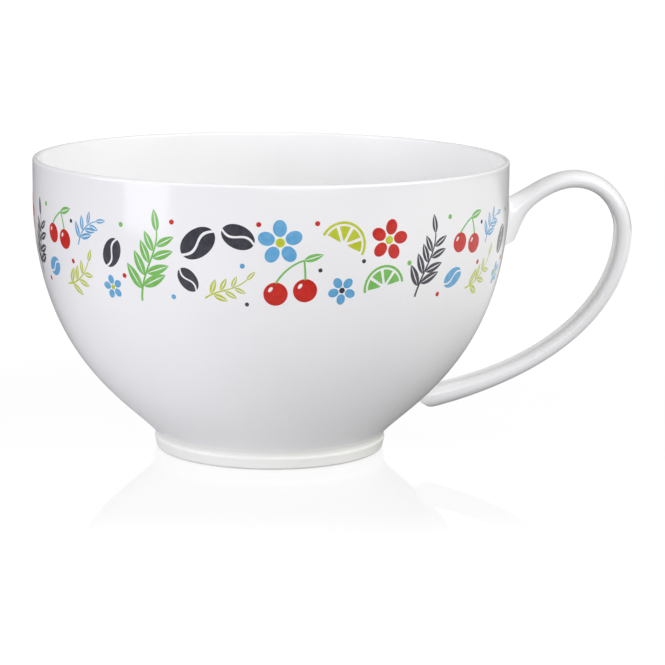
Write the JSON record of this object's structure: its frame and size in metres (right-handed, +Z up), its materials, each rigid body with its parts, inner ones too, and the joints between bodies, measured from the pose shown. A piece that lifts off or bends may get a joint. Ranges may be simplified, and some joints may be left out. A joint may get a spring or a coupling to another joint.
{
  "type": "jumbo coffee cup",
  "caption": "Wide round porcelain cup on a low foot ring, with a tall loop handle stuck on one side, glazed white, for coffee or soup.",
  "frame": {"origin": "on the table, under the middle of the whole cup's box, handle included; the cup's own axis is 15.8 mm from it towards -X", "axes": "+X from the bowl to the handle, +Z up along the bowl's axis, +Y completes the right-handed frame"},
  "size_m": [0.1516, 0.12, 0.0744],
  "materials": {
    "glazed_porcelain": "clear glossy glaze over white porcelain",
    "bare_porcelain": "matt unglazed porcelain",
    "print_green": "fired on-glaze enamel",
    "print_charcoal": "fired on-glaze enamel",
    "print_blue": "fired on-glaze enamel",
    "print_red": "fired on-glaze enamel",
    "print_lime": "fired on-glaze enamel"
  },
  "bodies": {
    "root": {"bowl": "glazed_porcelain", "foot_ring": "glazed_porcelain", "handle": "glazed_porcelain", "foot_slip": "bare_porcelain", "upper_handle_slip": "bare_porcelain", "lower_handle_slip": "bare_porcelain"}
  },
  "joints": []
}
